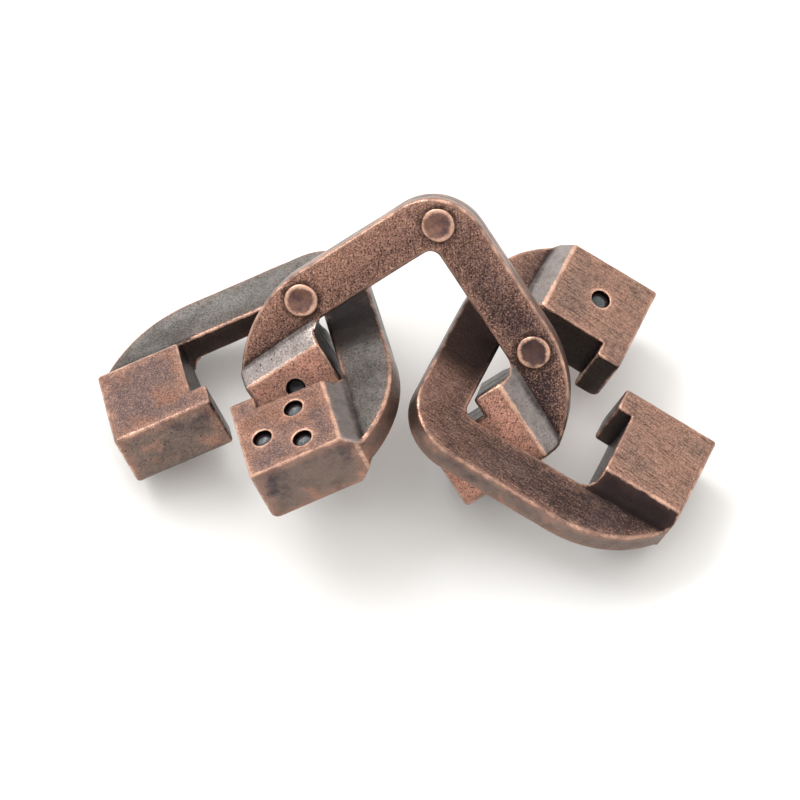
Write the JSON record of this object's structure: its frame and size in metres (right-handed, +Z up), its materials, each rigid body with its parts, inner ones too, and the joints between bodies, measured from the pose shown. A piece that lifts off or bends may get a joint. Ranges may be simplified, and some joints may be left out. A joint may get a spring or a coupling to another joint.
{
  "type": "metal ring disentanglement puzzle",
  "caption": "Metal disentanglement puzzle of linked square open rings with thick end blocks, in worn antique copper; the outer rings swing on the riveted middle ring.",
  "frame": {"origin": "centre of the footprint, on the surface the puzzle lies on", "axes": "+X along the row of rings from left to right, +Y away from the open ends of the middle ring, +Z up"},
  "size_m": [0.0865, 0.0451, 0.0331],
  "materials": {
    "ring_metal": "antique copper plate, brushed and worn",
    "middle_metal": "dark antique copper plate with worn edges",
    "rivet_metal": "peened copper-plated rivet"
  },
  "bodies": {
    "middle_ring": {"middle_link_front": "middle_metal", "middle_link_back": "middle_metal", "rivets": "rivet_metal"},
    "left_ring": {"left_link": "ring_metal"},
    "right_ring": {"right_link": "ring_metal"}
  },
  "joints": [
    {"name": "left_ring_swing", "type": "hinge", "parent": "middle_ring", "child": "left_ring", "pos_m": [-0.00852, 0.01224, 0.02349], "axis": [-0.8274, -0.341, -0.4462], "range_deg": [0, 36]},
    {"name": "right_ring_swing", "type": "hinge", "parent": "middle_ring", "child": "right_ring", "pos_m": [0.01373, 0.00675, 0.02295], "axis": [-0.55, 0.6528, 0.521], "range_deg": [0, 54]}
  ]
}
